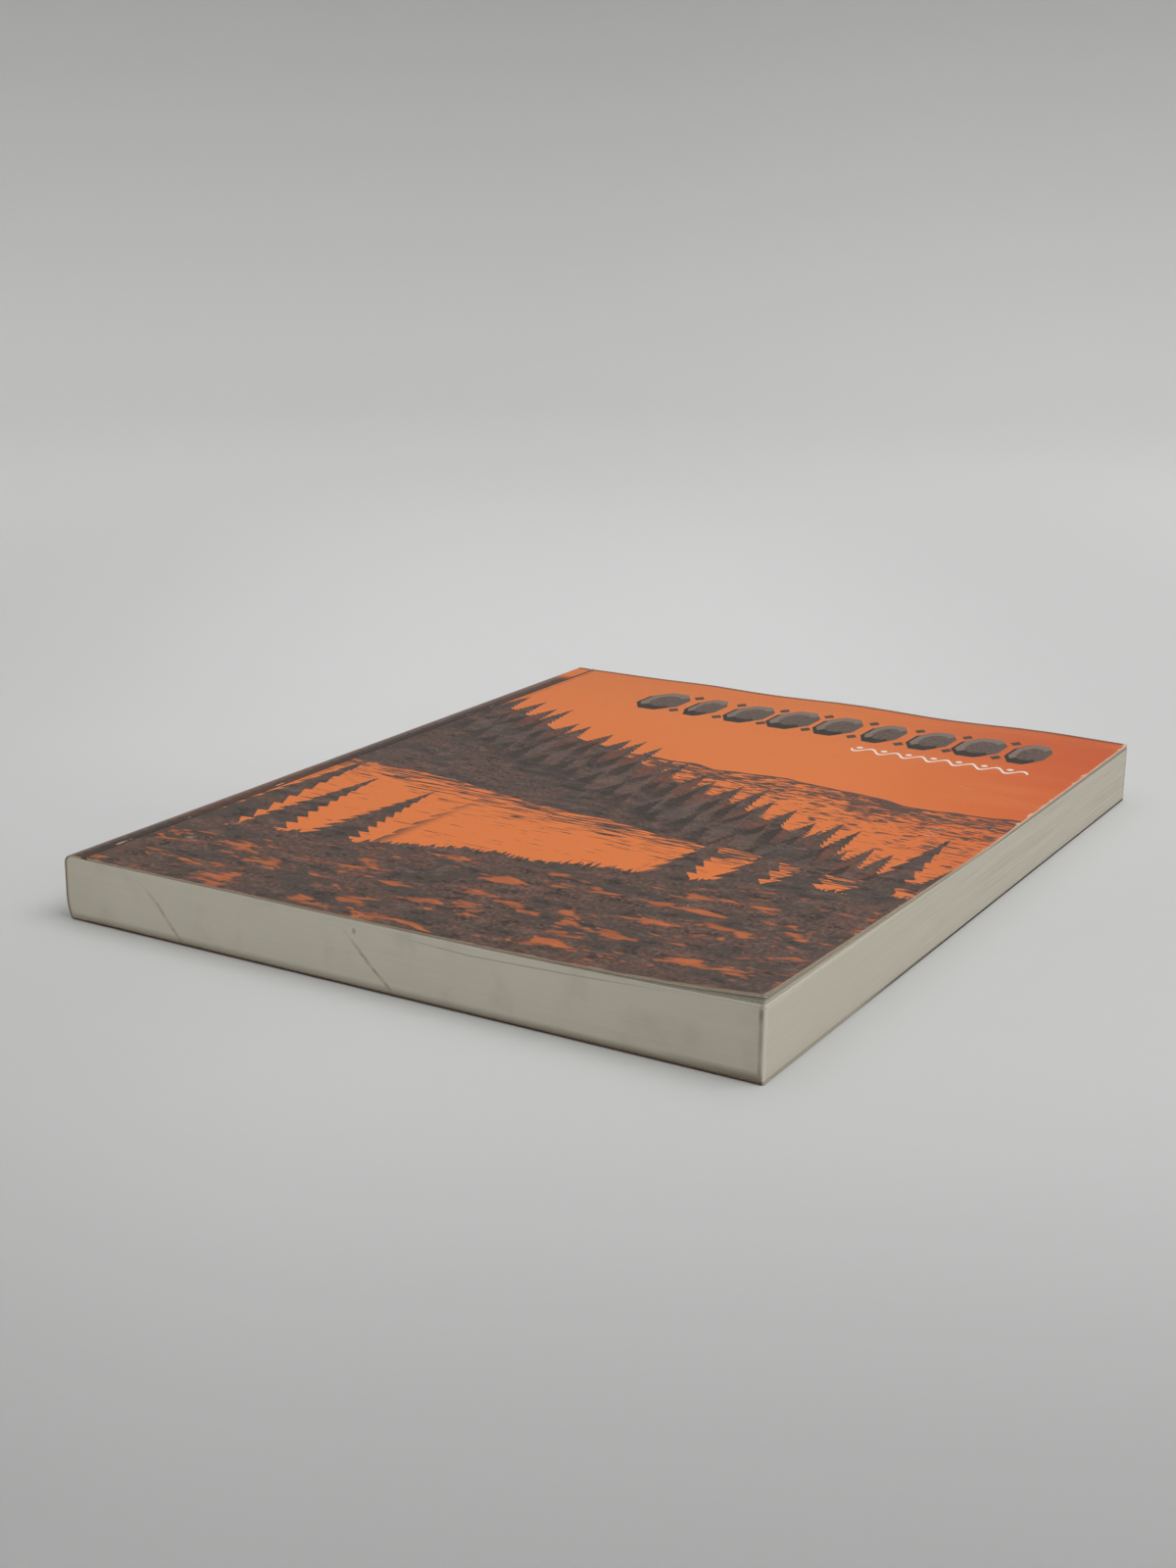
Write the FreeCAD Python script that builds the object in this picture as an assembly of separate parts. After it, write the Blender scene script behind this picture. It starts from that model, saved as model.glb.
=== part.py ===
import FreeCAD
import Part
import math
import os

# A paperback book lying closed on its back cover. +X runs from the spine to the
# fore-edge, +Y from the tail to the head, +Z up. The origin is under the middle of
# the book, on the surface that it lies on. All sizes are in millimetres.
#
# The leaves are one block, held by glue across their backs. The cover is one card,
# wrapped round the spine. It is glued to the first and last leaf as far as a crease
# along each side, and each cover opens at its crease.

Vector = FreeCAD.Vector

# The trimmed page is 189 wide, and the spine bulges a little past its foot
book_width = 190.2
book_height = 246.0
block_thickness = 15.4
worn_corner = 0.7

# Cover card and glue
card_thickness = 0.4
spine_glue = 0.5
side_glue = 0.15

# How the card turns round the spine, which is pressed in at its foot. Its shoulder is
# rounder at the tail than at the head.
shoulder_at_tail = 2.4
shoulder_at_head = 1.2
foot_radius = 1.0
foot_height = 6.5
foot_press = 1.3

# Where the card is creased
hinge_strip = 6.5
crease_gap = 0.2
crease_bevel = 0.12

# The corner between tail and fore-edge is curled up, the first leaves with the cover
leaf_rise = 0.65
cover_rise = 2.6
curl_power = 4.2
curl_length = 128.0
curl_fade = 1.15

# The other end of the fore-edge stands a little open
far_lift = 0.4
far_power = 3.0

# Waves in the front cover along the head
wave_height = 0.7
wave_pitch = 61.0
wave_trough = -23.0
wave_fade = 5.0
wave_from_crease = 19.5
wave_start = 28.0

# The curled faces run a little past the book, and are made from a net of points
overrun = 2.0
points_across = 20
points_along = 21
curl_start = 45.0

# Places that follow from the sizes
spine_x = -book_width / 2
fore_x = book_width / 2
tail_y = -book_height / 2
head_y = book_height / 2
crease_x = spine_x + hinge_strip
block_x = spine_x + card_thickness + spine_glue
block_low = card_thickness + side_glue
block_high = block_low + block_thickness
front_low = block_high + side_glue
front_high = front_low + card_thickness
above_all = front_high + leaf_rise + cover_rise + far_lift + wave_height
curled_from_x = crease_x + curl_start
wave_from_x = crease_x + wave_from_crease
foot_curve = (foot_height ** 2 + foot_press ** 2) / (2 * foot_press)


def spine_slab(left, low, high, inset):
    """A slab along the spine, as far as the crease, with its two left edges round.

    It lies inset inside the cover's outer side, and so its radii are as much smaller.
    """
    curve_x = spine_x + foot_curve
    curve_radius = curve_x - left
    low_x = curve_x - math.sqrt(curve_radius ** 2 - (foot_height - low) ** 2)
    middle_z = (foot_height + low) / 2
    middle_x = curve_x - math.sqrt(curve_radius ** 2 - (foot_height - middle_z) ** 2)
    low_right = Vector(crease_x, tail_y, low)
    low_left = Vector(low_x, tail_y, low)
    pressed = Vector(middle_x, tail_y, middle_z)
    upright = Vector(left, tail_y, foot_height)
    high_left = Vector(left, tail_y, high)
    high_right = Vector(crease_x, tail_y, high)
    outline = Part.Wire([
        Part.makeLine(low_right, low_left),
        Part.Arc(low_left, pressed, upright).toShape(),
        Part.makeLine(upright, high_left),
        Part.makeLine(high_left, high_right),
        Part.makeLine(high_right, low_right),
    ])
    slab = Part.Face(outline).extrude(Vector(0, book_height, 0))
    slab = slab.makeFillet(foot_radius - inset, edges_along(slab, low_x, low))
    return slab.makeFillet(
        shoulder_at_tail - inset, shoulder_at_head - inset, edges_along(slab, left, high))


def trimmed_prism(left, low, high):
    """A prism from left to the fore-edge, with its two outer corners worn round."""
    r = worn_corner
    slant = r * math.sqrt(0.5)
    tail_middle = Vector(fore_x - r + slant, tail_y + r - slant, low)
    head_middle = Vector(fore_x - r + slant, head_y - r + slant, low)
    tail_left = Vector(left, tail_y, low)
    tail_right = Vector(fore_x - r, tail_y, low)
    fore_tail = Vector(fore_x, tail_y + r, low)
    fore_head = Vector(fore_x, head_y - r, low)
    head_right = Vector(fore_x - r, head_y, low)
    head_left = Vector(left, head_y, low)
    outline = Part.Wire([
        Part.makeLine(tail_left, tail_right),
        Part.Arc(tail_right, tail_middle, fore_tail).toShape(),
        Part.makeLine(fore_tail, fore_head),
        Part.Arc(fore_head, head_middle, head_right).toShape(),
        Part.makeLine(head_right, head_left),
        Part.makeLine(head_left, tail_left),
    ])
    return Part.Face(outline).extrude(Vector(0, 0, high - low))


def corner_curl(x, y):
    """From 0 in the flat of the book to 1 at the curled corner."""
    across = max(0.0, (x - curled_from_x) / (fore_x - curled_from_x))
    along = max(0.0, 1 - (y - tail_y) / curl_length)
    return across ** curl_power * along ** curl_fade


def far_opening(x, y):
    """Height of the fore-edge's other end, which stands a little open."""
    across = max(0.0, (x - curled_from_x) / (fore_x - curled_from_x))
    along = max(0.0, min(1.0, (y - tail_y) / curl_length - 1))
    return far_lift * across ** far_power * along * along * (3 - 2 * along)


def head_waves(x, y):
    """Height of the waves in the front cover, which run out away from the head."""
    away_from_crease = min(1.0, max(0.0, x - wave_from_x) / wave_start) ** 2
    along = (y - tail_y) / book_height
    wave = 0.5 - 0.5 * math.cos(2 * math.pi * (x - wave_trough) / wave_pitch)
    return wave_height * wave * away_from_crease * along ** wave_fade


def leaf_height(x, y):
    """Top of the leaves."""
    return block_high + leaf_rise * corner_curl(x, y)


def cover_height(x, y):
    """Under side of the front cover, which lies on the leaves or stands off them."""
    stand_off = cover_rise * corner_curl(x, y) + far_opening(x, y) + head_waves(x, y)
    return leaf_height(x, y) + side_glue + stand_off


def curled_slab(height, thickness):
    """A slab over the whole book, with the given height of its under side."""
    low_x, low_y = crease_x - overrun, tail_y - overrun
    step_x = (fore_x + overrun - low_x) / points_across
    step_y = (head_y + overrun - low_y) / points_along
    net = []
    for i in range(points_across + 1):
        x = low_x + i * step_x
        column = [low_y + j * step_y for j in range(points_along + 1)]
        net.append([Vector(x, y, height(x, y)) for y in column])
    surface = Part.BSplineSurface()
    surface.buildFromPolesMultsKnots(
        net,
        end_knots(points_across), end_knots(points_along),
        list(range(points_across - 1)), list(range(points_along - 1)),
        False, False, 3, 3)
    return surface.toShape().extrude(Vector(0, 0, thickness))


def end_knots(spans):
    """How often each knot counts, in a cubic curve that ends on its end points."""
    return [4] + [1] * (spans - 3) + [4]


def edges_along(solid, x, z):
    """The long edges of a solid that run along the book at x and z."""
    return [
        edge for edge in solid.Edges
        if all(abs(v.X - x) < 1e-4 and abs(v.Z - z) < 1e-4 for v in edge.Vertexes)
    ]


def bevel(solid, x, z, inward, upward):
    """Breaks the edge of the card at x and z, where it meets the crease."""
    corner = Vector(x, tail_y, z)
    outline = Part.makePolygon([
        corner,
        corner + Vector(inward * crease_bevel, 0, 0),
        corner + Vector(0, 0, upward * crease_bevel),
        corner,
    ])
    return solid.cut(Part.Face(outline).extrude(Vector(0, book_height, 0)))


def leaf_backs():
    """The block's strip along the spine, where its leaves are glued."""
    inset = card_thickness + (spine_glue + side_glue) / 2
    return spine_slab(block_x, block_low, block_high, inset)


def make_text_block():
    """All the leaves as one block, with pressed backs and three trimmed edges."""
    leaves = trimmed_prism(crease_x, block_low, above_all)
    leaves = leaves.cut(curled_slab(leaf_height, above_all))
    return leaf_backs().fuse(leaves).removeSplitter()


def make_binding_glue():
    """The glue across the backs of the leaves, with a thin film out to each crease."""
    return inside_of_card().cut(leaf_backs())


def inside_of_card():
    """What the wrapped middle of the card holds."""
    return spine_slab(
        spine_x + card_thickness, card_thickness, front_low, card_thickness)


def make_spine_cover():
    """The middle of the card: the spine and the two strips glued to the block."""
    strip_end = crease_x - crease_gap / 2
    crease = Part.makeBox(crease_gap, book_height, above_all, Vector(strip_end, tail_y, 0))
    card = spine_slab(spine_x, 0, front_high, 0)
    card = card.cut(inside_of_card()).cut(crease)
    card = bevel(card, strip_end, front_high, -1, -1)
    return bevel(card, strip_end, 0, -1, 1)


def make_front_cover():
    """The front of the card, curled at one corner and wavy along the head."""
    left = crease_x + crease_gap / 2
    card = trimmed_prism(left, 0, above_all).common(curled_slab(cover_height, card_thickness))
    return bevel(card, left, front_high, 1, -1)


def make_back_cover():
    """The back of the card, flat under the block."""
    left = crease_x + crease_gap / 2
    return bevel(trimmed_prism(left, 0, card_thickness), left, 0, 1, 1)


pieces = {
    "text_block": make_text_block,
    "binding_glue": make_binding_glue,
    "spine_cover": make_spine_cover,
    "front_cover": make_front_cover,
    "back_cover": make_back_cover,
}

os.makedirs("parts", exist_ok=True)
for name, make in pieces.items():
    shape = make()
    shape.exportStep(f"parts/{name}.step")
    box = shape.optimalBoundingBox()
    print(
        f"{name}: {len(shape.Solids)} solid, valid {shape.isValid()},"
        f" {shape.Volume / 1000:.2f} cm3,"
        f" x {box.XMin:.2f} to {box.XMax:.2f}, y {box.YMin:.2f} to {box.YMax:.2f},"
        f" z {box.ZMin:.2f} to {box.ZMax:.2f}")
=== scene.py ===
import math

import bmesh
import bpy
from mathutils import Matrix, Vector
from mathutils.bvhtree import BVHTree


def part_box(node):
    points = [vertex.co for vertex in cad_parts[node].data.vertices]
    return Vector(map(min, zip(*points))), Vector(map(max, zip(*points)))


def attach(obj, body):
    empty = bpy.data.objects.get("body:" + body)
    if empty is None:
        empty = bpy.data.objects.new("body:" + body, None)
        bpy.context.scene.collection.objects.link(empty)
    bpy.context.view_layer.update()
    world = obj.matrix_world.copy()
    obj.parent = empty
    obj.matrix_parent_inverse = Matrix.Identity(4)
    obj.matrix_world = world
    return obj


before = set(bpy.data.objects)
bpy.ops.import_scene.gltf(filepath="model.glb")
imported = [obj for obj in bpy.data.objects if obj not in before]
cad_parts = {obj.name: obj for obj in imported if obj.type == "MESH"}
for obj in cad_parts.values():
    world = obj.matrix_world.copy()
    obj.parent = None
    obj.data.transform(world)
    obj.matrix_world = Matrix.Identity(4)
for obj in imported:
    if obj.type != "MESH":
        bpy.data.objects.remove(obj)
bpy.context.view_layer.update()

MM = 0.001

# Places on the book, in millimetres, read from the frame
spine_low, spine_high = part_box("spine_cover")
cover_low, cover_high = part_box("front_cover")
SPINE = spine_low[0] / MM
CREASE = spine_high[0] / MM
FORE = cover_high[0] / MM
TAIL = cover_low[1] / MM
HEAD = cover_high[1] / MM
BLOCK_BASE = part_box("text_block")[0][2] / MM
FRONT_TOP = spine_high[2] / MM


# Shading by formula

def rgb(red, green, blue):
    """A linear colour from the 0 to 255 values that a screen shows."""
    def straight(v):
        v /= 255
        return v / 12.92 if v <= 0.04045 else ((v + 0.055) / 1.055) ** 2.4
    return (straight(red), straight(green), straight(blue), 1)


class Term:
    """A number in a shader's formula."""

    def __init__(self, net, socket):
        self.net, self.socket = net, socket

    def __add__(self, other):
        return self.net.math("ADD", self, other)

    def __sub__(self, other):
        return self.net.math("SUBTRACT", self, other)

    def __rsub__(self, other):
        return self.net.math("SUBTRACT", other, self)

    def __mul__(self, other):
        return self.net.math("MULTIPLY", self, other)

    def __truediv__(self, other):
        return self.net.math("DIVIDE", self, other)

    def __neg__(self):
        return self.net.math("MULTIPLY", self, -1)

    def __abs__(self):
        return self.net.math("ABSOLUTE", self)

    def __gt__(self, other):
        return self.net.math("GREATER_THAN", self, other)

    def __lt__(self, other):
        return self.net.math("LESS_THAN", self, other)

    __radd__ = __add__
    __rmul__ = __mul__


class Net:
    """A material whose nodes are made from formulas in the book's millimetres."""

    def __init__(self, name):
        self.material = bpy.data.materials.new(name)
        self.material.use_nodes = True
        self.tree = self.material.node_tree
        self.tree.nodes.clear()
        out = self.tree.nodes.new("ShaderNodeOutputMaterial")
        self.shader = self.tree.nodes.new("ShaderNodeBsdfPrincipled")
        self.tree.links.new(self.shader.outputs[0], out.inputs[0])
        place = self.tree.nodes.new("ShaderNodeTexCoord")
        scaled = self.tree.nodes.new("ShaderNodeVectorMath")
        scaled.operation = "SCALE"
        self.tree.links.new(place.outputs["Object"], scaled.inputs[0])
        scaled.inputs["Scale"].default_value = 1 / MM
        self.x, self.y, self.z = self.split(scaled.outputs[0])
        self.nx, self.ny, self.nz = self.split(place.outputs["Normal"])

    def put(self, socket, value):
        if isinstance(value, Term):
            self.tree.links.new(value.socket, socket)
        elif isinstance(value, bpy.types.NodeSocket):
            self.tree.links.new(value, socket)
        else:
            socket.default_value = value

    def split(self, socket):
        node = self.tree.nodes.new("ShaderNodeSeparateXYZ")
        self.tree.links.new(socket, node.inputs[0])
        return [Term(self, out) for out in node.outputs]

    def join(self, x, y, z):
        node = self.tree.nodes.new("ShaderNodeCombineXYZ")
        for socket, value in zip(node.inputs, (x, y, z)):
            self.put(socket, value)
        return node.outputs[0]

    def math(self, operation, *values, clamp=False):
        node = self.tree.nodes.new("ShaderNodeMath")
        node.operation = operation
        node.use_clamp = clamp
        for socket, value in zip(node.inputs, values):
            self.put(socket, value)
        return Term(self, node.outputs[0])

    def clamp(self, value):
        return self.math("ADD", value, 0.0, clamp=True)

    def least(self, first, *rest):
        for other in rest:
            first = self.math("MINIMUM", first, other)
        return first

    def most(self, first, *rest):
        for other in rest:
            first = self.math("MAXIMUM", first, other)
        return first

    def step(self, value, low, high):
        """0 below low, 1 above high, smooth between them. low may be the larger."""
        node = self.tree.nodes.new("ShaderNodeMapRange")
        node.interpolation_type = "SMOOTHSTEP"
        self.put(node.inputs["Value"], value)
        flip = low > high
        node.inputs["From Min"].default_value = high if flip else low
        node.inputs["From Max"].default_value = low if flip else high
        node.inputs["To Min"].default_value = 1 if flip else 0
        node.inputs["To Max"].default_value = 0 if flip else 1
        return Term(self, node.outputs[0])

    def noise(self, x, y, z=0.0, detail=2.0, rough=0.5, twist=0.0):
        """Smooth noise about 0.5, one wave per unit."""
        node = self.tree.nodes.new("ShaderNodeTexNoise")
        self.put(node.inputs["Vector"], self.join(x, y, z))
        node.inputs["Scale"].default_value = 1
        node.inputs["Detail"].default_value = detail
        node.inputs["Roughness"].default_value = rough
        node.inputs["Distortion"].default_value = twist
        return Term(self, node.outputs[0])

    def chance(self, x, y=0.0, z=0.0):
        """One random number from 0 to 1 for each place."""
        node = self.tree.nodes.new("ShaderNodeTexWhiteNoise")
        self.put(node.inputs["Vector"], self.join(x, y, z))
        return Term(self, node.outputs["Value"])

    def mix(self, share, first, second):
        node = self.tree.nodes.new("ShaderNodeMix")
        node.data_type = "RGBA"
        self.put(node.inputs[0], share)
        self.put(node.inputs[6], first)
        self.put(node.inputs[7], second)
        return node.outputs[2]

    def bump(self, height, depth, before=None):
        """A normal for the shader, from a height where 1 stands depth millimetres proud."""
        node = self.tree.nodes.new("ShaderNodeBump")
        node.inputs["Distance"].default_value = depth * MM
        self.put(node.inputs["Height"], height)
        if before is not None:
            self.tree.links.new(before, node.inputs["Normal"])
        return node.outputs[0]

    def finish(self, **sockets):
        for name, value in sockets.items():
            self.put(self.shader.inputs[name.replace("_", " ")], value)
        return self.material


def give(node, material):
    """Puts a material on a node of the frame."""
    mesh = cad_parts[node].data
    mesh.materials.clear()
    mesh.materials.append(material)


# Colours

ORANGE = rgb(228, 122, 54)
ORANGE_RED = rgb(207, 88, 30)
ORANGE_BACK = rgb(224, 129, 64)
CHARCOAL = rgb(74, 60, 52)
BLACK_INK = rgb(42, 32, 25)
BROWN_INK = rgb(92, 65, 54)
RUST_INK = rgb(126, 64, 38)
GREY_INK = rgb(120, 98, 88)
STONE_LIGHT = rgb(130, 113, 102)
STONE_MIDDLE = rgb(94, 80, 72)
WHITE_INK = rgb(240, 232, 222)
CARD_CORE = rgb(206, 180, 158)
CARD_WORN = rgb(218, 190, 170)
CARD_WORN_DARK = rgb(166, 144, 124)
CARD_INSIDE = rgb(222, 217, 205)
PAPER_HIGHLIGHT = rgb(232, 226, 212)
LEAF_PALE = rgb(217, 212, 198)
LEAF_DARK = rgb(190, 183, 164)
LEAF_DIRT_AND_SHADE = rgb(116, 100, 80)
EDGE_DIRT_AND_SHADE = rgb(102, 94, 76)
EDGE_BROWN_SHADE = rgb(94, 72, 59)
GLUE_PALE = rgb(196, 186, 160)
GLUE_DARK = rgb(172, 160, 130)


# The cover's print: a generic picture of wooded ridges, in dark inks on orange

# The frieze near the head and the wave under it, in millimetres across and up the cover
FRIEZE_LEFT, FRIEZE_RIGHT = -54.0, 82.0
FRIEZE_LEVEL = 96.0
STONE_COUNT = 9
STONE_HALF_HIGH = 10.8
LOZENGE_OFF = 8.8
WAVE_LEFT, WAVE_RIGHT = 27.0, 80.9
WAVE_LEVEL = 75.0
WAVE_SWING = 2.0
WAVE_LENGTH = 7.7

# The bar on the spine, with a rule on each side of it
BAR_LEVEL = 88.0
BAR_HALF = 9.0
RULE_OFF = 12.5

# Rows of trees in the wood: how far down, spacing, height, and a tint with its strength
WOOD_ROWS = (
    (7.0, 8.5, 19.0, RUST_INK, 0.5), (13.0, 7.0, 17.0, BLACK_INK, 0.85),
    (22.0, 9.5, 20.0, GREY_INK, 0.35), (30.0, 8.0, 18.0, BLACK_INK, 0.8),
)


def ridge(net, base, slope, swing, pitch, seed):
    """Height of a hill's outline along the cover."""
    wave = net.noise(net.x / pitch, seed, detail=3.0, rough=0.45)
    return net.x * slope + base + (wave - 0.5) * (2 * swing)


def below(net, line):
    """1 under a line across the cover, with the slightly soft edge of print."""
    return net.step(line - net.y, -0.15, 0.15)


def conifers(net, base, spacing, height, seed, tiers=7.0):
    """1 inside a row of pointed trees that stands on the line base."""
    x, y = net.x, net.y
    cell = net.math("FLOOR", x / spacing + seed)
    tall = height * (0.5 + 0.5 * net.chance(cell, seed))
    shift = (net.chance(cell, seed, 3.0) - 0.5) * (0.5 * spacing)
    up = (y - base) / tall
    local = abs((x / spacing + seed - cell - 0.5) * spacing - shift)
    tier = net.math("FRACT", up * tiers + net.chance(cell, seed, 5.0))
    width = (1 - up) * (1.15 - 0.5 * tier) * (0.42 * spacing)
    ragged = (net.noise(x * 0.9, y * 1.4, seed) - 0.5) * 1.2
    inside = net.step(width + ragged - local, -0.1, 0.1)
    return inside * (up > -0.4) * (up < 1.0)


def dashes(net, long, high, seed, level, soft=0.02):
    """1 on short flat strokes, more of them where level is low."""
    stroke = net.noise(net.x / long, net.y / high, seed, detail=2.0, rough=0.55, twist=0.3)
    return net.step(stroke - level, -soft, soft)


def ink(net, seed, upright=False):
    """The dark inks: brown over charcoal with rust showing through, in a coarse grain.

    They lie on the cover, or upright on the spine.
    """
    x, y = net.z if upright else net.x, net.y
    broad = net.noise(x / 20, y / 11, seed, detail=4.0, rough=0.6)
    blots = net.noise(x / 6.5, y / 3.6, seed + 4, detail=4.0, rough=0.58)
    grain = net.noise(x / 1.1, y / 1.3, seed + 9, detail=2.0, rough=0.6)
    colour = net.mix(net.step(broad, 0.42, 0.56), CHARCOAL, BROWN_INK)
    colour = net.mix(net.step(blots, 0.45, 0.38) * 0.85, colour, BLACK_INK)
    colour = net.mix(net.step(blots + broad * 0.4, 0.80, 0.86) * 0.35, colour, RUST_INK)
    colour = net.mix(net.step(blots, 0.54, 0.66) * 0.5, colour, GREY_INK)
    coarse = net.step(broad, 0.40, 0.56) * 0.45 + 0.2
    colour = net.mix(net.step(grain, 0.46, 0.34) * coarse, colour, BLACK_INK)
    return net.mix(net.step(grain, 0.52, 0.66) * coarse, colour, GREY_INK)


def landscape(net, seed):
    """Sky, far hill, wood, water, and a near bank with tall trees."""
    x, y = net.x, net.y
    warm = net.mix(net.step(x + y * 0.45, 45, 145), ORANGE, ORANGE_RED)
    warm = net.mix(net.step(y, 60, 125) * 0.08, warm, BROWN_INK)
    cloud = net.noise(x / 60, y / 14, seed + 1, detail=3.0)
    sky = net.mix(net.step(cloud, 0.45, 0.75) * 0.3, warm, ORANGE_BACK)
    dark = ink(net, seed)
    colour = far_hill(net, sky, seed)
    colour = wood(net, colour, dark, seed)
    colour = water(net, colour, dark, warm, seed)
    return near_bank(net, colour, dark, seed)


def far_hill(net, colour, seed):
    """A hill that is hatched, densely at its top."""
    x, y = net.x, net.y
    line = ridge(net, 34.0, -0.06, 16.0, 55.0, seed + 2)
    thin = net.step(line - y, 2, 30) * 0.16
    patchy = (net.noise(x / 24, y / 9, seed + 14, detail=2.0) - 0.5) * 0.5
    hatch = dashes(net, 5.0, 1.0, seed + 3, 0.44 + thin + patchy, soft=0.04)
    crest = net.step(line - y, 1.3, 0.9)
    tint = net.mix(hatch, RUST_INK, BROWN_INK)
    return net.mix(below(net, line) * net.most(hatch, crest), colour, tint)


def wood(net, colour, dark, seed):
    """Rows of trees, each a little lighter or darker than the last."""
    line = ridge(net, 16.0, -0.55, 13.0, 46.0, seed + 5)
    inside = net.most(below(net, line), conifers(net, line, 7.5, 23.0, seed + 6))
    colour = net.mix(inside, colour, dark)
    for k, (down, spacing, height, tint, strength) in enumerate(WOOD_ROWS):
        row = conifers(net, line - down, spacing, height, seed + 15 + 3 * k)
        fade = row * net.step(line - down - net.y, 9, -6)
        colour = net.mix(fade * inside * strength, colour, tint)
    return colour


def water(net, colour, dark, warm, seed):
    """Bright water, with dark glints under the wood."""
    line = ridge(net, -26.0, -0.16, 9.0, 38.0, seed + 8)
    near_wood = net.step(line - net.y, 22, 0) * 0.19
    glints = dashes(net, 12.0, 0.9, seed + 9, 0.67 - near_wood)
    deep = net.mix(net.step(net.y, -20, -70), warm, ORANGE)
    return net.mix(below(net, line), colour, net.mix(glints, deep, dark))


def near_bank(net, colour, dark, seed):
    """A dark bank with tall trees at both sides, and bright stubble on it."""
    x, y = net.x, net.y
    line = ridge(net, -66.0, 0.22, 9.0, 34.0, seed + 10)
    blades = net.noise(x / 0.9, y / 9, seed + 11, detail=1.0) * 9.0
    right_trees = conifers(net, line, 15.0, 58.0, seed + 12) * net.step(x, 28, 34)
    left_trees = conifers(net, line - 4, 19.0, 104.0, seed + 16, tiers=11.0)
    left_trees = left_trees * net.step(x, -33, -39)
    bank = net.most(below(net, line + blades - 4), right_trees, left_trees)

    clumps = (net.noise(x / 22, y / 9, seed + 17, detail=1.0) - 0.5) * 0.45
    tufts = dashes(net, 11.0, 4.2, seed + 13, 0.62 + clumps, soft=0.05)
    blots = dashes(net, 4.0, 1.6, seed + 18, 0.69 + clumps, soft=0.05)
    down = line - y
    stubble = net.most(tufts * net.step(down, 5, 9), blots * net.step(down, 2, 5))
    bright = net.mix(net.noise(x / 7, y / 4, seed + 19, detail=2.0), ORANGE, RUST_INK)
    return net.mix(bank, colour, net.mix(stubble * 0.9, dark, bright))


def band(net, low, high, left, right):
    """1 inside an upright rectangle of the cover."""
    x, y = net.x, net.y
    return (net.step(x, left - 0.1, left + 0.1) * net.step(x, right + 0.1, right - 0.1)
            * net.step(y, low - 0.1, low + 0.1) * net.step(y, high + 0.1, high - 0.1))


def within(net, offset, pitch):
    """Place across a row of repeats, 0 at the middle of each."""
    return (net.math("FRACT", (net.x - offset) / pitch) - 0.5) * pitch


def clipped(net, across, along):
    """A stone with clipped corners: 0 at its middle and 1 at its edge."""
    return net.most(across, along, (across + along) / 1.42)


def stone_frieze(net, colour):
    """A row of cut stones, each with four facets round a flat top and a shadow beside it."""
    x, y = net.x, net.y
    up = y - FRIEZE_LEVEL
    pitch = (FRIEZE_RIGHT - FRIEZE_LEFT) / STONE_COUNT
    reach = STONE_HALF_HIGH + 1.7
    row = band(net, FRIEZE_LEVEL - reach, FRIEZE_LEVEL + reach, FRIEZE_LEFT - 1, FRIEZE_RIGHT)
    half_long = net.chance(net.math("FLOOR", (x - FRIEZE_LEFT) / pitch), 4.0) * 2.4 + 4.4
    local = within(net, FRIEZE_LEFT, pitch)
    across, along = abs(local) / half_long, abs(up) / STONE_HALF_HIGH
    stone = clipped(net, across, along)
    shadow_across = abs(within(net, FRIEZE_LEFT - 0.8, pitch)) / half_long
    shadow = clipped(net, shadow_across, abs(up + 1.2) / STONE_HALF_HIGH)

    # The facets at each stone's two ends, and above and below its flat top
    upper = net.step(up, -0.2, 0.2)
    right_half = net.step(local, -0.2, 0.2)
    facets = net.mix(
        net.step(across - along, -0.02, 0.02),
        net.mix(upper, BLACK_INK, STONE_LIGHT), net.mix(right_half, STONE_LIGHT, STONE_MIDDLE))
    grain = net.noise(x * 0.8, y * 0.8, 61.0, detail=3.0, rough=0.7)
    flat = net.mix(net.step(grain, 0.35, 0.7), CHARCOAL, GREY_INK)
    cut = net.mix(net.step(stone, 0.66, 0.60), facets, flat)
    cut = net.mix(net.step(grain, 0.55, 0.75) * 0.5, cut, CHARCOAL)
    colour = net.mix(net.step(shadow, 1.02, 0.97) * row, colour, BLACK_INK)
    colour = net.mix(net.step(stone, 1.01, 0.97) * row, colour, cut)

    # A small lozenge above and below each gap
    gap_local = within(net, FRIEZE_LEFT + pitch / 2, pitch)
    lozenge = abs(gap_local) / 1.8 + abs(abs(up) - LOZENGE_OFF) / 2.6
    half_row = (FRIEZE_RIGHT - FRIEZE_LEFT) / 2
    gaps = net.step(abs(x - (FRIEZE_LEFT + FRIEZE_RIGHT) / 2), half_row - 4, half_row - 5)
    return net.mix(net.step(lozenge, 1.1, 0.9) * gaps, colour, CHARCOAL)


def white_wave(net, colour):
    """A plain white wave, with a bead in each trough."""
    up = net.y - WAVE_LEVEL
    turn = net.math("SINE", net.x * (2 * math.pi / WAVE_LENGTH))
    line = net.step(abs(up - turn * WAVE_SWING), 0.85, 0.5)
    bead_x, bead_y = within(net, WAVE_LENGTH / 4, WAVE_LENGTH), up - 1.9
    bead = net.step(bead_x * bead_x + bead_y * bead_y, 1.1, 0.8)
    reach = 2 * WAVE_SWING
    inside = band(net, WAVE_LEVEL - reach, WAVE_LEVEL + reach, WAVE_LEFT, WAVE_RIGHT)
    return net.mix(net.most(line, bead) * inside, colour, WHITE_INK)


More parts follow.
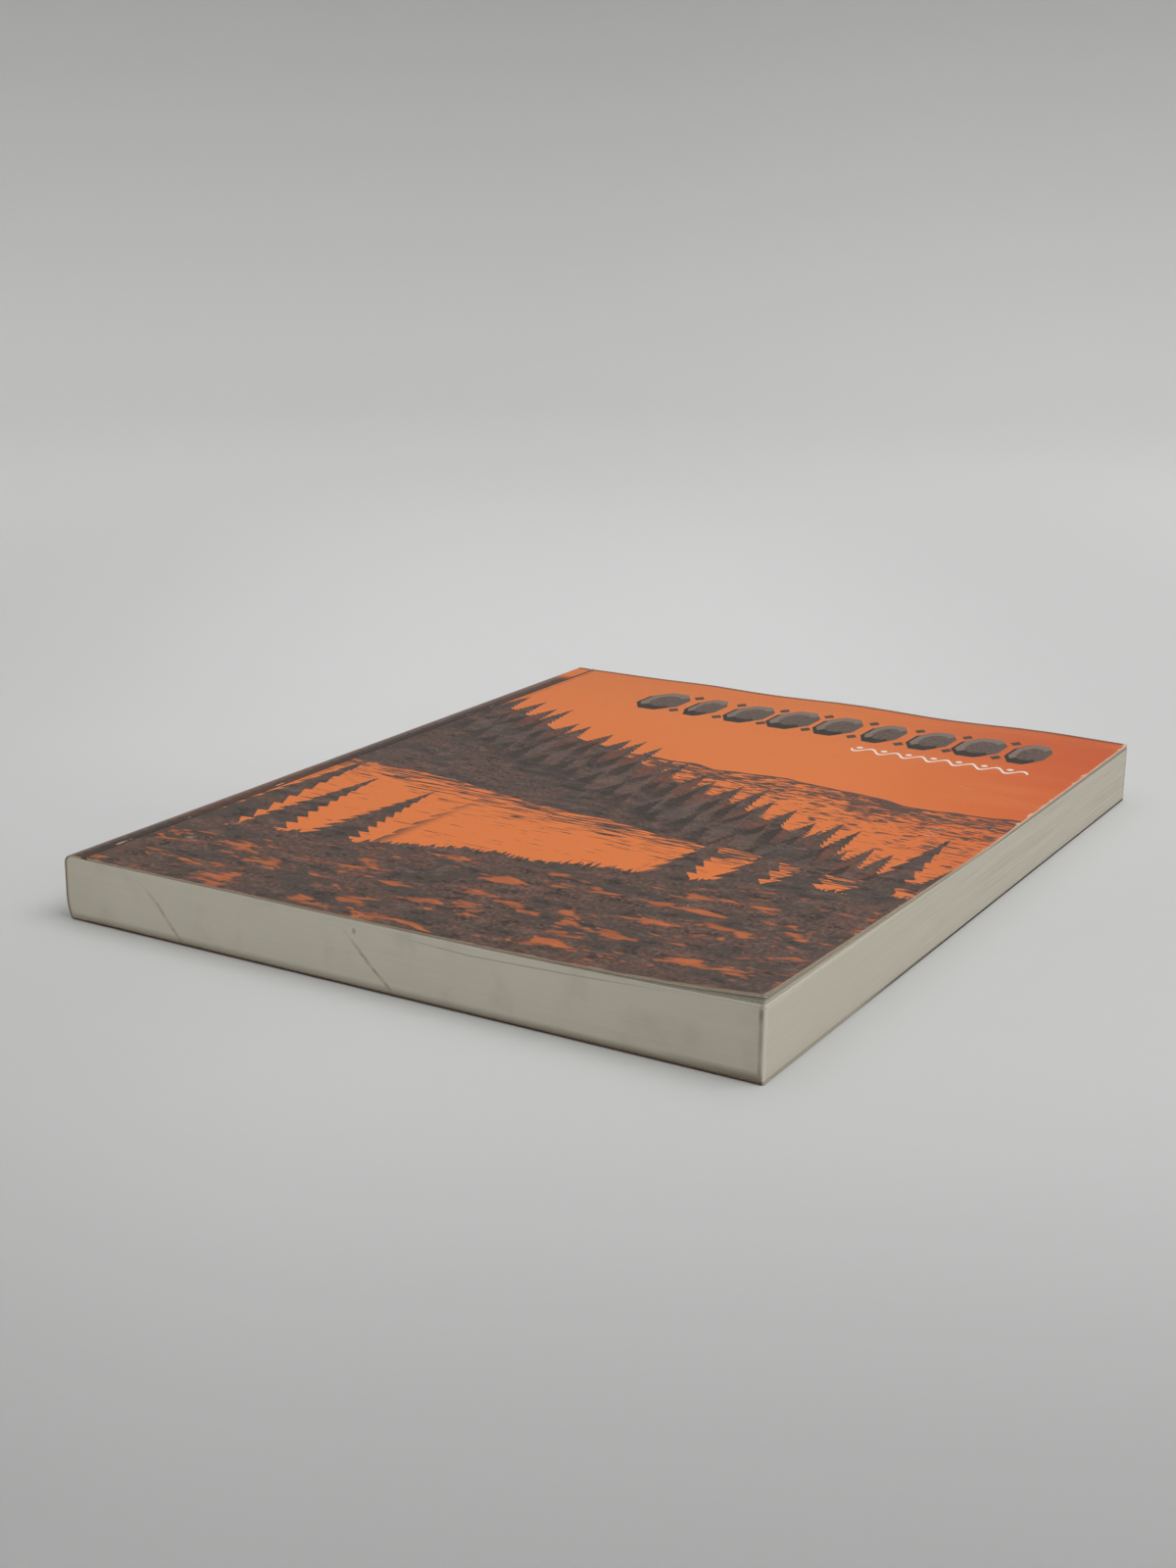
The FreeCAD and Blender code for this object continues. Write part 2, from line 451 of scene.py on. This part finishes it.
def spine_print(net, printed, seed):
    """Dark strips beside the spine, lighter on its shoulder as a painted highlight; the spine is
    plain dark ink with a bar and two rules.
    """
    x, y = net.x, net.y
    strip = net.step(x, CREASE - 0.1, CREASE - 0.7) * net.step(y, 112, 104)
    grain = net.noise(x * 0.9, y * 0.5, seed + 50, detail=2.0)
    # Painted highlight: the strip is grey on the spine's shoulder and black beyond it.
    inner = net.step(x - SPINE + (grain - 0.5) * 3, 2.2, 4.2)
    printed = net.mix(strip * 0.95, printed, net.mix(inner * 0.9, GREY_INK, BLACK_INK))

    from_bar = abs(y - BAR_LEVEL)
    bar = net.step(from_bar, BAR_HALF + 0.2, BAR_HALF - 0.2)
    rules = net.step(abs(from_bar - RULE_OFF), 0.7, 0.5)
    spine = net.mix(net.most(bar, rules), ink(net, seed + 20, upright=True), ORANGE)
    return net.mix(net.step(net.nx, -0.55, -0.75), printed, spine)


# The card

def worn_edges(net, spine):
    """1 where the print is chipped off, along the ends and the fore-edge."""
    x, y, z = net.x, net.y, net.z
    chip = net.noise(x / 5, y / 5, z / 9, detail=3.0, rough=0.6)
    fleck = net.noise(x / 1.3, y / 1.3, z + 3, detail=2.0)
    spread = (fleck - 0.5) * 0.3
    end_reach = 0.10 + net.step(chip, 0.56, 0.7) * 0.4 + spread
    worn = net.step(end_reach - (y - TAIL), -0.1, 0.1)
    if spine:
        return worn
    wear_and_shade = net.step(y, 5, 40) * 0.08
    fore_reach = 0.34 + net.step(chip + wear_and_shade, 0.6, 0.7) * 0.7 + spread * 0.6
    corner = net.least(y - TAIL, HEAD - y) + (FORE - x)
    fore_reach = fore_reach + net.step(corner, 6, 0) * 0.4
    return net.most(worn, net.step(fore_reach - (FORE - x), -0.1, 0.1))


def crease_marks(net, printed, off, seed):
    """A dark line along the crease and a fainter one beside it, painted shade in its groove, and
    pale where the card shows in its folds.
    """
    broken = net.noise(net.y / 13, seed, 2.0, detail=3.0, rough=0.7)
    # Painted shade: the two dark lines stand for the shade in the crease's groove.
    line = net.step(abs(off), 0.7, 0.3) * net.step(broken, 0.22, 0.40)
    second = net.step(abs(off - 1.5), 0.35, 0.1) * net.step(broken, 0.60, 0.48) * 0.7
    printed = net.mix(net.most(line, second) * 0.85, printed, BLACK_INK)
    bare = net.step(abs(off + 0.8), 0.4, 0.15) * net.step(broken, 0.56, 0.62)
    return net.mix(bare * 0.8, printed, CARD_WORN)


def scratches(net, printed, seed):
    """A few light scratches."""
    x, y = net.x, net.y
    trace = abs(net.noise(x / 26, y / 12, seed + 30, detail=2.0) - 0.5)
    some = net.noise(x / 30, y / 30, seed + 31)
    scratch = net.step(trace, 0.0026, 0.001) * net.step(some, 0.58, 0.66)
    return net.mix(scratch * 0.35, printed, CARD_WORN)


def card_edge(net, outward, spine):
    """Colour of the card's cut edges: dirty in patches and darker towards the tail, with painted
    shade in the crease's slit and where they lie under the book.
    """
    x, y, z = net.x, net.y, net.z
    dirt = net.noise(x / 5, y / 5, z * 2, detail=3.0)
    core = net.mix(net.step(dirt, 0.4, 0.7) * 0.3, CARD_CORE, LEAF_DIRT_AND_SHADE)
    core = net.mix(net.step(y, -30, -80) * 0.4, core, LEAF_DIRT_AND_SHADE)
    # Painted shade: the cut edges in the slit at the crease are dark brown.
    core = net.mix(net.step(abs(x - CREASE), 1.2, 0.8), core, BROWN_INK)
    if outward < 0:
        # Painted shade: the back cover's cut edges are dark brown at the tail, the head and the
        # crease, and on the fore side paler near the tail and black towards the head.
        side = net.step(net.nx, 0.5, 0.8)
        core = net.mix(side, EDGE_BROWN_SHADE, EDGE_DIRT_AND_SHADE)
        core = net.mix(net.step(y, -50, -80) * side, core, LEAF_DARK)
        core = net.mix(net.step(y, -45, -10) * side, core, BLACK_INK)
    if spine:
        # Dirt and painted shade: the spine cover's cut edges are dark below the front cover's
        # top.
        core = net.mix(net.step(z, FRONT_TOP - 0.8, FRONT_TOP - 0.5), EDGE_DIRT_AND_SHADE, core)
    return core


def inner_side(net):
    """Plain card inside the covers, a little foxed."""
    foxed = net.noise(net.x / 30, net.y / 30, 4.0, detail=4.0, rough=0.6)
    return net.mix(net.step(foxed, 0.45, 0.8) * 0.35, CARD_INSIDE, LEAF_DARK)


def cover_finish(name, outward, seed, frieze=False, spine=False):
    """Printed card. outward is the side that carries the print: +1 up, -1 down."""
    net = Net(name)
    x, y = net.x, net.y
    printed = landscape(net, seed)
    if frieze:
        printed = white_wave(net, stone_frieze(net, printed))
    if spine:
        printed = spine_print(net, printed, seed)

    # The print is darker along the head, and the bare card darker towards the tail
    printed = net.mix(net.step(HEAD - y, 2.4, 1.2) * 0.75, printed, BROWN_INK)
    worn = worn_edges(net, spine)
    bare_card = net.mix(net.step(y, -30, 30), CARD_WORN_DARK, CARD_WORN)
    printed = net.mix(worn * 0.85, printed, bare_card)
    from_crease = x - CREASE + (net.noise(y / 26, 7.0) - 0.5) * 0.5
    printed = crease_marks(net, printed, from_crease, seed)
    printed = scratches(net, printed, seed)

    # The print, the plain inner side and the cut edges
    core = card_edge(net, outward, spine)
    if spine:
        plain = 0.0
        colour = net.mix(net.most(abs(net.ny), net.nx) > 0.7, printed, core)
    else:
        plain = (net.nz * outward) < -0.5
        colour = net.mix(plain, printed, inner_side(net))
        colour = net.mix(net.most(abs(net.ny), abs(net.nx)) > 0.7, colour, core)

    # Low satin coating over a slightly uneven card
    pebble = net.noise(x / 1.1, y / 1.1, seed + 40, detail=2.0)
    waver = net.noise(x / 24, y / 18, seed + 41, detail=2.0)
    fold = net.step(abs(from_crease), 1.1, 0.3)
    normal = net.bump(waver, 0.12, net.bump(1 - fold, 0.08, net.bump(pebble, 0.008)))
    roughness = 0.42 + (pebble - 0.5) * 0.12 + net.most(worn, plain) * 0.3
    return net.finish(
        Base_Color=colour, Roughness=roughness, Normal=normal, Specular_IOR_Level=0.3)


# The leaves

# Scuffs on the tail: from and to, as x and z
TAIL_SCUFFS = (
    ((-73.0, 15.2), (-66.0, 9.0)), ((-66.0, 9.0), (-58.7, 0.6)),
    ((-12.2, 15.2), (-5.5, 8.0)), ((-5.5, 8.0), (2.3, 1.2)),
)

# Where the first leaves stand apart at the tail, drawn as a line of painted shade, and a small
# spot, as x and z
LEAF_GAP = ((-4.0, 14.6), (23.4, 13.7), (49.2, 14.6), (80.0, 16.2))
TAIL_SPOT = (-7.6, 13.4)


def near_line(net, x, z, start, end):
    """Distance of the place (x, z) from a stretch of straight line."""
    (x1, z1), (x2, z2) = start, end
    length = math.hypot(x2 - x1, z2 - z1)
    dx, dz = (x2 - x1) / length, (z2 - z1) / length
    across = abs((x - x1) * dz - (z - z1) * dx)
    along = (x - x1) * dx + (z - z1) * dz
    return across + net.most(-along, along - length, 0.0)


def tail_marks(net):
    """How strongly the tail is marked: scuffs, a spot, painted shade along the leaves' gap, and
    smears.
    """
    x, z = net.x, net.z
    sway = (net.noise(z / 5, 5.0, x / 30, detail=2.0) - 0.5) * 1.2
    scuffs = net.most(*[
        net.step(near_line(net, x + sway, z, start, end), 0.7, 0.05)
        for start, end in TAIL_SCUFFS])
    faint = net.noise(x / 2.2, z / 2.2, 9.0, detail=3.0, rough=0.65)
    scuffs = scuffs * (net.step(faint, 0.3, 0.7) * 0.5 + 0.14) * net.step(z, 15, 7)
    spot_x, spot_z = (x - TAIL_SPOT[0]) / 0.7, z - TAIL_SPOT[1]
    spot = net.step(spot_x * spot_x + spot_z * spot_z + (faint - 0.5), 1.0, 0.2) * 0.45
    # Painted shade along the gap where the first leaves stand apart
    gap = net.most(*[
        net.step(near_line(net, x, z, start, end), 0.26, 0.04)
        for start, end in zip(LEAF_GAP, LEAF_GAP[1:])])
    gap = gap * net.step(x, -4, 20) * net.step(x, 82, 50) * 0.42
    smears = net.noise(x / 11, z / 12, 12.0, detail=3.0, rough=0.5)
    return net.most(scuffs, spot, gap, net.step(smears, 0.5, 0.75) * 0.12)


def leaf_edges(net, fore, tail):
    """Colour of the cut leaves and gatherings, with the noises for leaves and for slits."""
    x, y, z = net.x, net.y, net.z
    along = (x + y) * 0.012
    level = z + (net.noise(along * 0.7, 1.0) - 0.5) * 0.8
    leaves = net.noise(along, 2.0, level * 4.2, detail=3.0, rough=0.75)
    groups = net.noise(along * 0.5, 3.0, level * 1.2, detail=2.0)
    slit = net.noise(along * 1.6, 8.0, level * 2.3, detail=1.0)

    # They stand out more towards the head
    clear = fore * (0.1 + net.step(y, -80, 60) * 1.4) + net.step(net.ny, 0.5, 0.8) * 0.8
    shade = (leaves - 0.5) * 2.8 + (groups - 0.5) * 0.6
    colour = net.mix(net.clamp(shade * (0.2 + clear * 0.8) + 0.62), LEAF_DARK, LEAF_PALE)
    slits = net.step(slit, 0.36, 0.27) * net.step(groups, 0.38, 0.6)
    colour = net.mix(slits * clear * 0.4, colour, LEAF_DIRT_AND_SHADE)
    return net.mix(tail_marks(net) * tail, colour, LEAF_DIRT_AND_SHADE), leaves, slit


def corner_lines(net, leaves):
    """A thin brown line on the tail's side of the near corner, and a brown far corner."""
    from_fore, from_tail, z = FORE - net.x, net.y - TAIL, net.z
    line = net.step(abs(from_fore - 1.0 + (leaves - 0.5) * 0.4), 0.75, 0.2)
    ends = net.most(net.step(z, 12, 15) * net.step(z, 16.5, 16.0), net.step(z, 4, 1))
    uneven = net.noise(z / 4, 31.0, detail=2.0) * 0.4 + 0.25 + ends * 0.25
    near = net.most(line * uneven, net.step(from_fore, 3.4, 0.8) * 0.14)
    near = near * net.step(from_tail, 0.5, 0.2)
    from_far = from_fore + (HEAD - net.y)
    return net.most(near, net.step(from_far + (leaves - 0.5), 1.8, 0.2) * 0.5)


def painted_foot_shade(net, tail):
    """Painted shade along the block's foot, which is heaviest on the tail near the fore-edge."""
    x, z = net.x, net.z
    foot = net.step(z, BLOCK_BASE + 2.0, BLOCK_BASE - 0.2)
    foot = foot * (0.1 + tail * (0.5 + net.step(x, 0, 90) * 0.25))
    near = net.step(x, 50, 92) * tail * 0.85
    return net.most(foot, net.step(z, BLOCK_BASE + 3.0, BLOCK_BASE) * near)


def cover_shadow_lines(net, fore):
    """Painted shadow: the dark lines on the fore-edge, over the back cover and under the front
    one.
    """
    y, z = net.y, net.z
    low = net.step(z, BLOCK_BASE + 0.28, BLOCK_BASE + 0.08) * net.step(y, -10, -40)
    high = net.step(z, FRONT_TOP - 0.9, FRONT_TOP - 0.7) * net.step(y, -10, 20)
    return net.most(low, high) * fore * 0.7


def painted_highlight(net, fore):
    """Painted highlight on the near corner's round edge and on the rim of the first loose
    leaves.
    """
    z = net.z
    corner = net.step(FORE - net.x, 0.5, 0.3) * net.step(net.y - TAIL, 1.0, 0.6) * 0.5
    rim_low = net.step(z, FRONT_TOP - 0.4, FRONT_TOP)
    rim_high = net.step(z, FRONT_TOP + 1.2, FRONT_TOP + 0.8)
    return net.most(corner, rim_low * rim_high * (fore * 0.4 + 0.15))


def leaf_finish():
    """Trimmed leaves, marked on the tail, dirty and with painted shade and highlight round their
    edges, and plain pages.
    """
    net = Net("leaves")
    x, y, z = net.x, net.y, net.z
    fore = net.step(net.nx, 0.5, 0.8)
    tail = net.step(net.ny, -0.5, -0.8)
    flat = net.step(abs(net.nz), 0.5, 0.8)
    colour, leaves, slit = leaf_edges(net, fore, tail)

    # The tail darkens towards its two ends, partly dirt and partly painted shade, and the last
    # leaves under the cover are darker with painted shade
    broad = net.noise(x / 40, y / 40, z / 12, detail=3.0)
    wear_and_shade = net.step(x, 30, 96) * 0.13 + net.step(x, SPINE + 22, SPINE) * 0.06
    wear_and_shade = wear_and_shade * tail + net.step(broad, 0.5, 0.8) * 0.04
    under_cover_shade = net.step(z, FRONT_TOP + 1.3, FRONT_TOP + 1.9) * 0.4
    dirt_and_shade = net.most(
        corner_lines(net, leaves), wear_and_shade, painted_foot_shade(net, tail), under_cover_shade,
        cover_shadow_lines(net, fore))
    colour = net.mix(dirt_and_shade * (1 - flat), colour, LEAF_DIRT_AND_SHADE)
    # Painted highlight on the near corner and the loose leaves' rim
    colour = net.mix(painted_highlight(net, fore) * (1 - flat), colour, PAPER_HIGHLIGHT)

    # The pages themselves, yellowed round their edges
    age = net.least(FORE - x, y - TAIL, HEAD - y) + (broad - 0.5) * 30
    page = net.mix(net.step(age, 22, 0) * 0.5, LEAF_PALE, LEAF_DARK)
    colour = net.mix(flat, colour, page)

    fibre = net.noise(x / 0.5, y / 0.5, 6.0, detail=2.0)
    cut = net.bump((leaves + slit * 0.5) * (1 - flat), 0.06)
    return net.finish(Base_Color=colour, Roughness=0.82, Normal=net.bump(fibre, 0.01, cut))


def glue_finish():
    """Hot-melt glue, a little lumpy."""
    net = Net("binding_glue")
    lumps = net.noise(net.x / 2, net.y / 2, net.z / 2, detail=3.0)
    colour = net.mix(lumps, GLUE_PALE, GLUE_DARK)
    return net.finish(Base_Color=colour, Roughness=0.5, Normal=net.bump(lumps, 0.1))


FRONT_SEED, BACK_SEED = 11.0, 47.0

leaf_material = leaf_finish()
give("text_block", leaf_material)
give("binding_glue", glue_finish())
give("front_cover", cover_finish("front_print", 1, FRONT_SEED, frieze=True))
give("spine_cover", cover_finish("spine_print", 1, FRONT_SEED, spine=True))
give("back_cover", cover_finish("back_print", -1, BACK_SEED))


# The first leaves, which fan out between the block and the curled cover

# Where each group of leaves lies in the gap, from 0 on the block to 1 under the cover, and
# how far its edges stand back from the cover's
LEAF_GROUPS = (
    (0.02, 0.34, 0.06), (0.41, 0.48, 0.2), (0.54, 0.60, 0.35), (0.65, 0.70, 0.5),
    (0.86, 0.98, 0.12))
TRIM_RADIUS = 0.7
LEAF_COLUMNS, LEAF_ROWS = 44, 48
NEAR_END = (0.0, 0.08, 0.2, 0.4, TRIM_RADIUS, 1.5)
INNER_END = 4.0


def surface_of(node):
    """Finds points on a node of the frame."""
    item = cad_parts[node]
    corners = [item.matrix_world @ v.co for v in item.data.vertices]
    return BVHTree.FromPolygons(corners, [p.vertices for p in item.data.polygons])


def height_on(surface, x, y, upward):
    """Height where an upright line first meets a surface, from below or from above."""
    start = Vector((x * MM, y * MM, -1 if upward else 1))
    hit = surface.ray_cast(start, Vector((0, 0, 1 if upward else -1)))[0]
    return hit.z / MM


def trimmed_edge(y, inset):
    """The fore-edge at y, with its corners worn round, of a leaf that lies inset."""
    from_end = min(y - TAIL, HEAD - y) - inset
    short = min(TRIM_RADIUS, max(0.0, TRIM_RADIUS - from_end))
    return FORE - inset - TRIM_RADIUS + math.sqrt(TRIM_RADIUS ** 2 - short ** 2)


def leaf_places(inset):
    """Rows of places on a leaf, closer together near the fore-edge and the two ends."""
    left = CREASE + 0.5
    low, high = TAIL + inset, HEAD - inset
    inner_low, inner_high = low + INNER_END, high - INNER_END
    inner = [
        inner_low + (inner_high - inner_low) * j / LEAF_ROWS for j in range(LEAF_ROWS + 1)]
    ys = [low + d for d in NEAR_END] + inner + [high - d for d in reversed(NEAR_END)]
    shares = [1 - (1 - i / LEAF_COLUMNS) ** 1.6 for i in range(LEAF_COLUMNS + 1)]
    return [[(left + (trimmed_edge(y, inset) - left) * t, y) for t in shares] for y in ys]


def make_loose_leaves():
    """Each group is a thin closed sheet, shaped between the block and the cover."""
    block, cover = surface_of("text_block"), surface_of("front_cover")
    for number, (under_share, over_share, inset) in enumerate(LEAF_GROUPS, 1):
        places = leaf_places(inset)
        gaps = [
            [(height_on(block, x, y, False), height_on(cover, x, y, True)) for x, y in row]
            for row in places]
        mesh = bmesh.new()
        under = sheet(mesh, places, gaps, under_share)
        over = sheet(mesh, places, gaps, over_share)
        for a, b, c, d in quads(over):
            mesh.faces.new((a, b, c, d)).smooth = True
        for a, b, c, d in quads(under):
            mesh.faces.new((d, c, b, a)).smooth = True
        for (a, b), (c, d) in zip(rim(under), rim(over)):
            mesh.faces.new((a, b, d, c))
        data = bpy.data.meshes.new(f"loose_leaves_{number}")
        mesh.to_mesh(data)
        mesh.free()
        data.materials.append(leaf_material)
        piece = bpy.data.objects.new(data.name, data)
        bpy.context.collection.objects.link(piece)
        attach(piece, "block")


def sheet(mesh, places, gaps, share):
    """A net of points at one share of the gap between the block and the cover."""
    return [
        [mesh.verts.new((x * MM, y * MM, (low + (high - low) * share) * MM))
         for (x, y), (low, high) in zip(row, row_gaps)]
        for row, row_gaps in zip(places, gaps)]


def quads(rows):
    """The four-sided faces of a net of points."""
    for first, second in zip(rows, rows[1:]):
        for i in range(len(first) - 1):
            yield first[i], first[i + 1], second[i + 1], second[i]


def rim(rows):
    """The edges round a net of points, one after the other."""
    loop = list(rows[0])
    loop += [row[-1] for row in rows[1:]]
    loop += list(reversed(rows[-1][:-1]))
    loop += [row[0] for row in reversed(rows[1:-1])]
    return list(zip(loop, loop[1:] + loop[:1]))


make_loose_leaves()


# Floor, backdrop, lights and camera, in metres

BLACK = (0, 0, 0, 1)
SWEEP_BRIGHT = rgb(227, 228, 228)
SWEEP_PLAIN = rgb(207, 207, 206)
FLOOR_TOP = -0.0002
FLOOR_RINGS = (0.02, 0.3, 0.6, 0.9, 1.15)
BEND_RADIUS = 0.7
BEND_STEPS = 12
WALL_HEIGHT = 1.4
AROUND = 96

ROOM_LIGHT = (0.97, 0.965, 0.955, 1)
LAMP_PLACE = (0.7, 0.1, 1.3)
LAMP_SIZE = 1.1
LAMP_POWER = 7.4

# The photograph's camera, found from the book's corners
CAMERA_PLACE = (0.265295, -0.487354, 0.177893)
CAMERA_HEADING = math.radians(30.237)
CAMERA_TILT = math.radians(90 - 15.962)
CAMERA_ROLL = math.radians(0.757)
SENSOR_MM = 36.0
PHOTO_HEIGHT = 1600
FOCAL_PIXELS = 2175.3


def sweep_finish():
    """Pale card with painted light and shade: brightest behind the book and darker in front, at
    the sides and up the wall.
    """
    net = Net("sweep")
    x, y, z = net.x, net.y, net.z
    behind = y * math.cos(CAMERA_HEADING) - x * math.sin(CAMERA_HEADING)
    beside = x * math.cos(CAMERA_HEADING) + y * math.sin(CAMERA_HEADING)
    away = net.math("SQRT", x * x + y * y)
    # Painted light and shade: these factors brighten and darken the card's colour as the lamp's
    # falloff and a soft shadow left of the book would.
    front = net.step(behind, -360, -130) * 0.35 + 0.62
    back = net.step(away, 150, 900) * 0.22 + 1
    right = net.step(beside, -100, 450) * net.step(behind, -100, 300) * 0.06 + 1
    depth = net.step(behind, -60, 130) * net.step(behind, 850, 200)
    glow = net.step(abs(beside + 25), 260, 40) * depth * 0.2 + 1
    left = 1 - net.step(beside, -60, -160) * net.step(behind, -20, -160) * 0.09
    wall = 1 - net.least(z / 290, 1.6) * 0.23
    soft = net.noise(x / 420, y / 420, z / 420, detail=2.0) * 0.03 + 0.985
    level = front * back * right * glow * left * wall * soft * 0.8
    shaded = net.mix(level, BLACK, SWEEP_BRIGHT)

    # It lights the book as plain grey card would
    path = net.tree.nodes.new("ShaderNodeLightPath")
    seen = net.most(*[
        Term(net, path.outputs[name])
        for name in ("Is Camera Ray", "Is Glossy Ray", "Is Transmission Ray")])
    return net.finish(Base_Color=net.mix(seen, SWEEP_PLAIN, shaded), Roughness=0.9)


def make_sweep():
    """A round floor that turns up into a wall, well outside the book and the cameras."""
    profile = [(r, 0.0) for r in FLOOR_RINGS]
    flat = FLOOR_RINGS[-1]
    for i in range(1, BEND_STEPS + 1):
        turn = math.pi / 2 * i / BEND_STEPS
        profile.append((flat + BEND_RADIUS * math.sin(turn), BEND_RADIUS * (1 - math.cos(turn))))
    profile.append((flat + BEND_RADIUS, BEND_RADIUS + WALL_HEIGHT))

    verts = [(0.0, 0.0, 0.0)]
    for radius, height in profile:
        for k in range(AROUND):
            turn = 2 * math.pi * k / AROUND
            verts.append((radius * math.cos(turn), radius * math.sin(turn), height))
    faces = [(0, 1 + k, 1 + (k + 1) % AROUND) for k in range(AROUND)]
    for i in range(len(profile) - 1):
        low, high = 1 + i * AROUND, 1 + (i + 1) * AROUND
        for k in range(AROUND):
            n = (k + 1) % AROUND
            faces.append((low + k, high + k, high + n, low + n))

    mesh = bpy.data.meshes.new("sweep")
    mesh.from_pydata(verts, [], faces)
    mesh.update()
    for polygon in mesh.polygons:
        polygon.use_smooth = True
    mesh.materials.append(sweep_finish())
    sweep = bpy.data.objects.new("sweep", mesh)
    sweep.location.z = FLOOR_TOP
    bpy.context.collection.objects.link(sweep)


def make_lights():
    """Soft light from all round, and one large lamp over the fore-edge."""
    world = bpy.data.worlds.new("studio")
    world.use_nodes = True
    room = world.node_tree.nodes["Background"]
    room.inputs["Color"].default_value = ROOM_LIGHT
    room.inputs["Strength"].default_value = 1.0
    bpy.context.scene.world = world
    data = bpy.data.lights.new("softbox", "AREA")
    data.shape = "DISK"
    data.size = LAMP_SIZE
    data.energy = LAMP_POWER
    lamp = bpy.data.objects.new("softbox", data)
    lamp.location = LAMP_PLACE
    lamp.rotation_euler = (-lamp.location).to_track_quat("-Z", "Y").to_euler()
    bpy.context.collection.objects.link(lamp)


def make_camera():
    """The photograph's view."""
    data = bpy.data.cameras.new("camera")
    data.sensor_width = SENSOR_MM
    data.lens = SENSOR_MM * FOCAL_PIXELS / PHOTO_HEIGHT
    data.clip_start = 0.01
    camera = bpy.data.objects.new("camera", data)
    heading = Matrix.Rotation(CAMERA_HEADING, 4, "Z")
    tilt = Matrix.Rotation(CAMERA_TILT, 4, "X")
    roll = Matrix.Rotation(CAMERA_ROLL, 4, "Z")
    camera.matrix_world = Matrix.Translation(CAMERA_PLACE) @ heading @ tilt @ roll
    bpy.context.collection.objects.link(camera)
    bpy.context.scene.camera = camera


make_sweep()
make_lights()
make_camera()

bpy.context.scene.view_settings.view_transform = "Standard"
